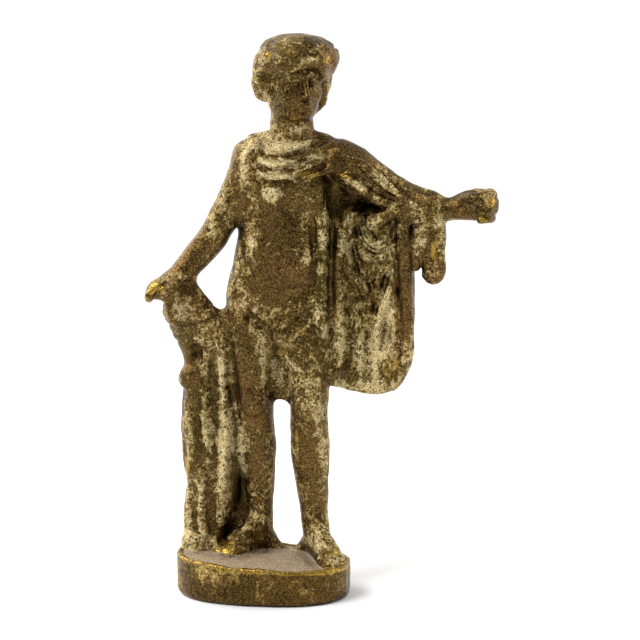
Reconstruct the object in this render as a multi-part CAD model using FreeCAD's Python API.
"""Cast brass statuette on an oval plinth: a standing man in a short cloak, his left arm held
out and his right hand resting on a tree trunk.  It is built from separate castings that are
tenoned, pinned and screwed together.

Millimetres.  +Z is up, +X is the figure's left (a viewer's right), -Y is its front.
The origin is the centre of the plinth's flat underside.
"""
import FreeCAD
import Part

import math
import os

V = FreeCAD.Vector

# ---- driving dimensions -------------------------------------------------------------------
PLINTH_LENGTH = 36.8        # oval, along X
PLINTH_DEPTH = 24.6         # oval, along Y
PLINTH_END_FLAT = 18.0      # X of the small flat where the casting gate was sawn off
RIM_MIDDLE_Z = 8.2          # height of the plinth's rim over the origin
RIM_SLOPE = 0.045           # the rim falls this much per millimetre towards +X
RIM_WIDTH = 1.3             # metal left around the ground plate
SEAT_Z = 5.2                # floor of the plinth's recess, which the ground plate rests on
GROUND_Z = RIM_MIDDLE_Z     # the feet stand on the rim's own sloping plane
CROWN_HALF_LENGTH = 44.0    # the ground falls away from the feet on a flat dome of these sizes
CROWN_HALF_DEPTH = 34.0
CROWN_RISE = 10.0

FIGURE_Y = 3.0              # the figure stands a little behind the plinth's middle
NECK_JOINT_Z = 99.4
SHOULDER_Z = 93.5
CLOAK_THICKNESS = 1.5

SCREW_R = 1.0               # fixing screws, from below
SCREW_HEAD_R = 1.9
SCREW_HEAD_HEIGHT = 1.3
SCREW_HEAD_SUNK = 0.5       # the screw heads sit this far inside the underside
HEAD_CLEARANCE = 0.25
DOWEL_R = 1.1               # neck and shoulder dowels
PIN_R = 0.6                 # small locating pins

RIGHT_ANKLE = V(-2.0, 5.4, 15.0)
LEFT_ANKLE = V(10.0, 5.2, 15.6)
TRUNK_FOOT = V(-12.6, 3.6, 8.8)

SECTION_POINTS = 14         # points on each lofted outline


# ---- shape helpers ------------------------------------------------------------------------
def closed_curve(points):
    """A smooth closed wire through the points."""
    curve = Part.BSplineCurve()
    curve.interpolate(Points=points, PeriodicFlag=True)
    return Part.Wire(curve.toShape())


def oval(centre, across, up, half_across, half_up, squareness=2.0, lobes=0, lobe_depth=0.0):
    """A closed wire around centre.  Squareness 2 is an ellipse and more is boxier; lobes
    swell and shrink it by lobe_depth of its size."""
    count = max(SECTION_POINTS, 4 * lobes)
    points = []
    for i in range(count):
        angle = 2 * math.pi * i / count
        c, s = math.cos(angle), math.sin(angle)
        reach = (abs(c) ** squareness + abs(s) ** squareness) ** (-1 / squareness)
        reach *= 1 + lobe_depth * math.cos(lobes * angle)
        points.append(centre + across * (half_across * c * reach) + up * (half_up * s * reach))
    return closed_curve(points)


def stack(sections, squareness=2.3, lobes=0, lobe_depth=0.0):
    """Lofts level ovals, each (z, centre x, centre y, half width, half depth)."""
    wires = [oval(V(x, y, z), V(1, 0, 0), V(0, 1, 0), a, b, squareness, lobes, lobe_depth)
             for z, x, y, a, b in sections]
    return Part.makeLoft(wires, True, False)


def limb(stations, side, round_start=True, round_end=True):
    """Lofts ovals square to a path.  Each station is (point, half width along side, half
    thickness); side is a direction that is never along the path.  A rounded end gets a cap
    of two smaller ovals."""
    points = [point for point, _, _ in stations]
    last = len(stations) - 1
    sections = []
    for i, (point, a, b) in enumerate(stations):
        along = (points[min(i + 1, last)] - points[max(i - 1, 0)]).normalize()
        sections.append((point, along, a, b))
    caps = ((0.55, 0.8), (0.9, 0.35))      # how far out, and how big, as shares of the end's
    if round_start:
        point, along, a, b = sections[0]
        for reach, size in caps:
            sections.insert(0, (point - along * min(a, b) * reach, along, a * size, b * size))
    if round_end:
        point, along, a, b = sections[-1]
        for reach, size in caps:
            sections.append((point + along * min(a, b) * reach, along, a * size, b * size))
    wires = []
    for point, along, a, b in sections:
        across = (side - along * side.dot(along)).normalize()
        wires.append(oval(point, across, along.cross(across), a, b))
    return Part.makeLoft(wires, True, False)


def ellipsoid(centre, a, b, c):
    """A ball stretched to the half sizes a, b and c along X, Y and Z."""
    stretch = FreeCAD.Matrix()
    stretch.scale(a, b, c)
    ball = Part.makeSphere(1.0).transformGeometry(stretch)
    ball.translate(centre)
    return ball


def rod(start, end, radius):
    """A round pin from start to end."""
    return Part.makeCylinder(radius, (end - start).Length, start, end - start)


def fused(shapes):
    """One solid from several that overlap."""
    whole = shapes[0].multiFuse(shapes[1:])
    return whole.removeSplitter()


def largest_solid(shape):
    """The biggest solid, without the crumbs that a cut can leave."""
    return max(shape.Solids, key=lambda solid: solid.Volume)


def half_space(point, normal, size=200.0):
    """A big block that fills the side of the plane that normal points to."""
    block = Part.makeBox(size, size, size, V(-size / 2, -size / 2, 0))
    block.Placement = FreeCAD.Placement(point, FreeCAD.Rotation(V(0, 0, 1), normal))
    return block


# ---- plinth and ground --------------------------------------------------------------------
def plinth_outline(inset, z):
    """The plinth's oval, drawn in by inset, as a face at height z."""
    wire = oval(V(0, 0, z), V(1, 0, 0), V(0, 1, 0),
                PLINTH_LENGTH / 2 - inset, PLINTH_DEPTH / 2 - inset, 2.25)
    return Part.Face(wire)


def rim_cutter():
    """Everything over the rim, which falls gently towards +X."""
    return half_space(V(0, 0, RIM_MIDDLE_Z), V(RIM_SLOPE, 0, 1))


def plinth():
    height = RIM_MIDDLE_Z + 3
    walls = plinth_outline(0, 0).extrude(V(0, 0, height)).cut(rim_cutter())
    walls = walls.cut(half_space(V(PLINTH_END_FLAT, 0, 0), V(1, 0, 0)))
    recess = plinth_outline(RIM_WIDTH, SEAT_Z).extrude(V(0, 0, height))
    shape = walls.cut(recess)
    for place in screw_places():
        shape = shape.cut(rod(V(place.x, place.y, 0), V(place.x, place.y, height), SCREW_R))
        pocket_top = V(place.x, place.y, SCREW_HEAD_SUNK + SCREW_HEAD_HEIGHT)
        pocket = rod(V(place.x, place.y, 0), pocket_top, SCREW_HEAD_R + HEAD_CLEARANCE)
        shape = shape.cut(pocket)
    return shape


def ground_plate():
    """Fills the recess and swells up a little to the feet."""
    blank = plinth_outline(RIM_WIDTH, SEAT_Z).extrude(V(0, 0, 6))
    crown = ellipsoid(V(0, 0, 0), CROWN_HALF_LENGTH, CROWN_HALF_DEPTH, CROWN_RISE)
    crown.rotate(V(0, 0, 0), V(0, 1, 0), math.degrees(math.atan(RIM_SLOPE)))
    crown.translate(V(1.5, 2.0, GROUND_Z + 0.3 - CROWN_RISE))
    return blank.common(crown).cut(rim_cutter())


def under_ground():
    """Everything under the plane the feet stand on."""
    return half_space(V(0, 0, GROUND_Z), V(-RIM_SLOPE, 0, -1))


def ground_height(x):
    """Height of the plane the feet stand on."""
    return GROUND_Z - RIM_SLOPE * x


def screw_places():
    """Where the fixing screws come up: both feet and the trunk."""
    return [V(RIGHT_ANKLE.x, RIGHT_ANKLE.y, 0), V(LEFT_ANKLE.x, LEFT_ANKLE.y, 0),
            V(TRUNK_FOOT.x, TRUNK_FOOT.y, 0)]


def screw(place, top):
    """A cheese-head screw from the underside up to top."""
    head_low = V(place.x, place.y, SCREW_HEAD_SUNK)
    head_top = V(place.x, place.y, SCREW_HEAD_SUNK + SCREW_HEAD_HEIGHT)
    head = rod(head_low, head_top, SCREW_HEAD_R)
    slot = Part.makeBox(2 * SCREW_HEAD_R, 0.5, 0.5,
                        head_low - V(SCREW_HEAD_R, 0.25, 0))
    shank = rod(head_top, V(place.x, place.y, top), SCREW_R)
    return head.cut(slot).fuse(shank).removeSplitter()


# ---- body ---------------------------------------------------------------------------------
def torso():
    y = FIGURE_Y
    return stack([
        (54.0, 3.4, y + 0.4, 7.6, 3.6), (57.5, 3.4, y + 0.2, 9.8, 5.0),
        (64.0, 3.2, y, 10.8, 5.7), (71.0, 3.5, y, 10.0, 5.3), (79.0, 4.0, y, 9.0, 4.9),
        (87.0, 4.6, y, 9.3, 5.6), (93.0, 5.6, y, 9.2, 5.1), (97.0, 6.0, y, 7.2, 4.4),
        (NECK_JOINT_Z, 5.6, y, 4.8, 4.0)])


def leg(hip_x, knee_x, ankle):
    y = FIGURE_Y
    return limb([
        (V(hip_x, y, 61.0), 5.2, 5.2), (V((hip_x + knee_x) / 2, y - 0.4, 50.0), 4.5, 4.6),
        (V(knee_x, y - 0.4, 41.0), 3.8, 3.8), (V((knee_x + ankle.x) / 2, y + 1.2, 31.0), 3.8, 4.1),
        (V(ankle.x, ankle.y - 0.8, 21.5), 2.9, 3.1), (ankle, 2.5, 2.6),
        (V(ankle.x, ankle.y, 11.2), 2.7, 2.8)], V(1, 0, 0))


def foot(heel_x, heel_y, toe_x, toe_y, heel_height, ball_height):
    """From the heel to the toe along the ground; the sole is flat."""
    heel = V(heel_x, heel_y, ground_height(heel_x))
    toe = V(toe_x, toe_y, ground_height(toe_x))
    middle = heel + (toe - heel) * 0.55
    half_heel, half_ball = heel_height / 2, ball_height / 2
    shape = limb([
        (heel + V(0, 0, half_heel), 2.1, half_heel),
        (middle + V(0, 0, half_ball * 1.15), 2.5, half_ball * 1.25),
        (toe + V(0, 0, half_ball * 0.75), 2.1, half_ball * 0.85)],
        V(-(toe - heel).y, (toe - heel).x, 0).normalize())
    return shape.cut(under_ground())


def body():
    """Torso, legs and feet: the main casting, with a thin web between the thighs."""
    web = Part.makeBox(6.4, 2.4, 16.0, V(0.4, FIGURE_Y, 41.0))
    arch = Part.makeCylinder(2.4, 10.0, V(3.6, FIGURE_Y - 3, 40.4), V(0, 1, 0))
    web = web.cut(arch).cut(half_space(V(0, 0, 41.4), V(0, 0, -1)))
    right_foot = foot(-2.2, 6.0, -9.0, -0.6, 4.6, 3.0)
    left_foot = foot(10.3, 5.4, 16.2, -4.8, 5.0, 2.8)
    whole = fused([torso(), leg(-2.0, -2.6, RIGHT_ANKLE), leg(9.2, 9.5, LEFT_ANKLE),
                   web, right_foot, left_foot])
    whole = whole.cut(half_space(V(0, 0, NECK_JOINT_Z), V(0, 0, 1)))
    return largest_solid(whole.cut(under_ground()))


# ---- head ---------------------------------------------------------------------------------
HEAD_X, HEAD_Y = 6.3, 2.6
HEAD_TURN = 30.0            # degrees, to the figure's left


def head():
    """Neck, face and hair in one casting, with the face turned to the figure's left."""
    x, y = HEAD_X, HEAD_Y
    neck_to_brow = [
        (NECK_JOINT_Z, x - 0.6, y + 0.4, 4.6, 4.2), (101.6, x - 0.2, y + 0.3, 4.2, 4.1),
        (103.4, x, y - 0.6, 4.2, 5.0), (105.0, x, y - 1.0, 4.6, 5.9),
        (107.4, x, y - 0.5, 5.4, 6.5), (110.2, x, y, 6.0, 7.0), (113.0, x, y + 0.3, 6.5, 7.4)]
    hair = [
        (114.4, x, y + 0.4, 7.7, 8.4), (116.4, x, y + 0.4, 8.2, 8.8), (118.2, x, y + 0.4, 7.6, 8.2),
        (119.4, x, y + 0.4, 6.2, 6.8), (120.0, x, y + 0.4, 4.4, 4.8)]
    shape = stack(neck_to_brow + hair, 2.1)
    nose = limb([(V(x, y - 6.4, 111.8), 0.8, 0.8), (V(x, y - 7.6, 108.4), 1.2, 1.0)], V(1, 0, 0))
    nape_knot = ellipsoid(V(x - 5.2, y + 5.2, 108.6), 3.8, 3.6, 3.8)
    shape = fused([shape, nose, nape_knot])
    shape.rotate(V(x, y, 0), V(0, 0, 1), HEAD_TURN)
    return largest_solid(shape)


# ---- arms ---------------------------------------------------------------------------------
RIGHT_SHOULDER = V(-1.4, FIGURE_Y, SHOULDER_Z)
RIGHT_ELBOW = V(-11.8, 2.0, 76.4)
RIGHT_WRIST = V(-17.0, 0.4, 69.4)
RIGHT_FINGERTIPS = V(-24.0, -0.8, 64.4)
LEFT_SHOULDER = V(14.4, FIGURE_Y, SHOULDER_Z)
LEFT_ELBOW = V(30.0, 2.2, 85.4)
LEFT_WRIST = V(40.2, 0.2, 84.2)


def shoulder_plane(shoulder, toward):
    """The flat joint between the body and an arm: a point on it and its outward normal."""
    outward = (toward - shoulder).normalize()
    return shoulder + outward * 1.2, outward


def right_arm():
    """Upper arm, forearm and the hand laid on the trunk."""
    arm = limb([
        (RIGHT_SHOULDER, 3.8, 3.8), (V(-6.6, 2.7, 86.4), 3.1, 3.3), (RIGHT_ELBOW, 2.9, 3.1),
        (RIGHT_WRIST, 2.2, 2.3), (V(-20.6, -0.4, 67.0), 2.7, 1.8),
        (RIGHT_FINGERTIPS, 2.2, 1.1)], V(0, 1, 0))
    thumb = limb([(V(-18.0, -1.6, 68.0), 1.0, 1.0), (V(-20.6, -3.0, 65.4), 0.8, 0.8)],
                 V(1, 0, 0))
    return fused([arm, thumb])


def left_arm():
    """The arm held out, from the shoulder through the cloak to the clenched hand."""
    arm = limb([
        (LEFT_SHOULDER, 3.6, 3.6), (V(22.4, 2.8, 89.4), 3.0, 3.2), (LEFT_ELBOW, 2.7, 2.9),
        (V(35.6, 1.2, 84.4), 2.5, 2.7), (LEFT_WRIST, 2.2, 2.3)], V(0, 1, 0))
    fist = limb([(V(41.6, -0.1, 84.6), 2.0, 2.4), (V(44.2, -0.6, 85.3), 2.6, 3.4),
                 (V(47.2, -1.1, 85.6), 2.6, 3.5)], V(0, 1, 0))
    return fused([arm, fist])


# ---- cloak --------------------------------------------------------------------------------
def mantle():
    """The cloak's top: soft rings round the neck, over both shoulders and the upper back."""
    t = CLOAK_THICKNESS
    y = FIGURE_Y
    cape = stack([
        (76.0, 5.4, y + 1.6, 9.2, 5.4), (84.0, 5.2, y + 0.9, 10.6, 6.3),
        (89.5, 5.4, y + 0.4, 9.9 + t, 6.3 + t), (92.4, 5.8, y + 0.2, 10.2 + t, 5.6 + t),
        (94.2, 6.0, y + 0.2, 9.6 + t, 5.9 + t), (96.0, 6.1, y + 0.1, 8.6 + t, 4.9 + t),
        (97.8, 6.0, y, 7.6 + t, 5.1 + t), (99.6, 5.8, y, 5.8 + t, 4.3 + t),
        (101.2, 5.8, y, 4.8 + t, 4.3 + t)])
    return cape.cut(half_space(V(4.0, y, 89.0), V(0.10, -0.62, -1)))


def drape_section(z, left, right, front, wave, phase):
    """One level outline of the hanging cloth: a wavy front, a back that follows it, and an
    inner edge that hooks round behind the body."""
    thickness = 4.4
    count = 11
    front_side, back_side = [], []
    for i in range(count):
        share = i / (count - 1)
        x = left + (right - left) * share
        taper = math.sin(math.pi * (0.12 + 0.76 * share))
        hook = 4.6 * max(0.0, 1 - share / 0.36) ** 1.5
        ripple = wave * math.sin(phase + 5.6 * math.pi * share)
        front_side.append(V(x, front + hook + ripple - 0.8 * taper, z))
        back_side.append(V(x, front + hook + ripple * 0.5
                           + thickness * (0.3 + 0.7 * taper), z))
    return closed_curve(front_side + back_side[::-1])


def drape():
    """The length of cloth that hangs behind the left side, from the arm to the thigh."""
    levels = [
        (90.0, 6.0, 26.0, 3.6, 0.3, 0.4), (82.0, 6.4, 30.8, 3.0, 0.6, 0.5),
        (72.0, 6.8, 31.6, 3.2, 0.9, 0.7), (60.0, 8.0, 31.8, 3.6, 1.0, 0.9),
        (50.0, 11.0, 31.6, 4.0, 0.9, 1.1), (45.6, 14.0, 29.8, 4.4, 0.6, 1.2),
        (43.6, 19.0, 26.4, 5.0, 0.2, 1.2)]
    return Part.makeLoft([drape_section(*level) for level in levels], True, False)


def sleeve():
    """Cloth wrapped over the upper arm, ending in the thick hem that falls from the elbow."""
    over_arm = limb([
        (LEFT_SHOULDER + V(0.6, 0, 0.4), 4.6, 4.6), (V(22.8, 2.8, 89.0), 4.2, 4.6),
        (V(30.6, 2.2, 84.6), 4.0, 4.4), (V(34.4, 1.6, 83.8), 3.5, 4.0)], V(0, 1, 0))
    hem = limb([(V(30.2, -0.8, 83.0), 1.7, 1.7), (V(30.4, -0.6, 74.0), 1.6, 1.5),
                (V(30.6, 0.6, 62.0), 1.5, 1.4), (V(30.6, 2.2, 56.0), 1.2, 1.2)], V(1, 0, 0))
    turned_fold = limb([(V(27.4, -0.6, 82.6), 1.6, 1.5), (V(22.8, -0.8, 79.8), 1.5, 1.4)],
                       V(0, 1, 0))
    return fused([over_arm, hem, turned_fold])


def tail():
    """The cloak's short end, hanging under the forearm."""
    return limb([
        (V(35.2, 1.6, 81.0), 3.0, 2.6), (V(35.4, 1.4, 76.0), 3.2, 2.2),
        (V(36.2, 1.2, 71.4), 2.4, 2.2)], V(1, 0, 0))


# ---- trunk --------------------------------------------------------------------------------
def trunk():
    """A tree stump with a broad top for the hand, a knot, ridged bark and a web to the hip."""
    x, y = -12.6, FIGURE_Y + 0.6
    stump = stack([
        (GROUND_Z - 0.6, x - 1.0, y, 4.8, 4.2), (14.0, x - 0.4, y, 4.9, 3.8),
        (28.0, x, y, 5.2, 3.8), (40.0, x - 0.2, y, 5.0, 3.7), (49.0, x + 0.3, y, 4.8, 3.6),
        (56.0, x - 1.2, y - 0.8, 6.4, 3.6), (61.5, x - 3.2, y - 2.0, 5.8, 3.4),
        (66.0, x - 4.6, y - 2.6, 4.2, 2.8)], 2.2, 5, 0.07)
    knot = ellipsoid(V(-15.6, y - 1.4, 46.8), 2.6, 2.6, 3.0)
    web = limb([(V(-13.0, y - 0.4, 59.6), 1.8, 3.0), (V(-5.5, y - 0.4, 58.4), 1.6, 3.2)],
               V(0, 1, 0))
    return fused([stump, knot, web])


# ---- fixings ------------------------------------------------------------------------------
def fixings():
    """Pins, dowels, rivets and screws, as lists of solids by node name."""
    arm_point, arm_out = shoulder_plane(RIGHT_SHOULDER, V(-6.6, 2.7, 86.4))
    out_point, out_out = shoulder_plane(LEFT_SHOULDER, V(22.4, 2.8, 89.4))
    y = FIGURE_Y
    return {
        "neck_dowel": [rod(V(5.8, y, NECK_JOINT_Z - 4), V(5.8, y, NECK_JOINT_Z + 4), DOWEL_R)],
        "right_shoulder_dowel": [rod(arm_point - arm_out * 2.5, arm_point + arm_out * 3, DOWEL_R)],
        "left_shoulder_dowel": [rod(out_point - out_out * 2.5, out_point + out_out * 3, DOWEL_R)],
        "hand_pin": [rod(V(-20.2, -0.2, 62.6), V(-20.2, -0.2, 67.0), PIN_R)],
        "mantle_pins": [rod(V(x, y, 93.6), V(x, y, 98.2), PIN_R) for x in (1.4, 11.2)],
        "drape_rivets": [rod(V(11.0, y + 1.0, z), V(11.0, y + 4.4, z), PIN_R)
                         for z in (66.0, 75.0)],
        "sleeve_pin": [rod(V(25.0, 2.6, 88.0), V(25.0, 2.6, 92.0), PIN_R)],
        "tail_pin": [rod(V(35.4, 1.4, 79.4), V(35.4, 1.4, 84.6), PIN_R)],
        "foot_screws": [screw(place, top) for place, top in
                        zip(screw_places(), (RIGHT_ANKLE.z + 1.5, LEFT_ANKLE.z + 1.5))],
        "trunk_screw": [screw(screw_places()[2], 22.0)],
    }


# ---- assembly -----------------------------------------------------------------------------
def without(shape, *others):
    """shape with the space of the others taken out of it."""
    for other in others:
        shape = shape.cut(other)
    return largest_solid(shape)


def castings():
    """Each casting with its neighbours' space cut from it, so that they meet face to face."""
    main = body()
    arm_point, arm_out = shoulder_plane(RIGHT_SHOULDER, V(-6.6, 2.7, 86.4))
    out_point, out_out = shoulder_plane(LEFT_SHOULDER, V(22.4, 2.8, 89.4))
    right = right_arm().cut(half_space(arm_point, arm_out * -1))
    left = left_arm().cut(half_space(out_point, out_out * -1))
    main = without(main, half_space(arm_point, arm_out).common(Part.makeBox(
        12, 30, 16, V(-16, -12, 86))))
    right = without(right, main)
    left = without(left, main)
    skull = without(head(), main)
    plate = ground_plate()
    base = plinth()
    stump = without(trunk(), main, right, plate, base)
    cape = without(mantle(), main, skull, right, left)
    arm_cloth = without(sleeve(), main, skull, left, cape)
    hanging = without(drape(), main, left, cape, arm_cloth)
    end = without(tail(), left, arm_cloth, hanging)
    return {
        "plinth": base, "ground_plate": plate, "body": main, "head": skull,
        "right_arm": right, "left_arm": left, "tree_trunk": stump,
        "cloak_mantle": cape, "cloak_sleeve": arm_cloth, "cloak_drape": hanging,
        "cloak_tail": end,
    }


def main():
    os.makedirs("parts", exist_ok=True)
    nodes = castings()
    hardware = fixings()
    for solids in hardware.values():
        for name in nodes:
            for solid in solids:
                if nodes[name].BoundBox.intersect(solid.BoundBox):
                    nodes[name] = largest_solid(nodes[name].cut(solid))
    for name, solids in hardware.items():
        nodes[name] = solids[0] if len(solids) == 1 else Part.makeCompound(solids)
    for name, shape in nodes.items():
        shape.exportStep(os.path.join("parts", name + ".step"))
        box = shape.BoundBox
        print(f"{name:22s} {len(shape.Solids)} solid  {shape.Volume:9.1f} mm3  valid "
              f"{shape.isValid()}  x {box.XMin:6.1f} {box.XMax:6.1f}  y {box.YMin:6.1f} "
              f"{box.YMax:6.1f}  z {box.ZMin:6.1f} {box.ZMax:6.1f}")


main()
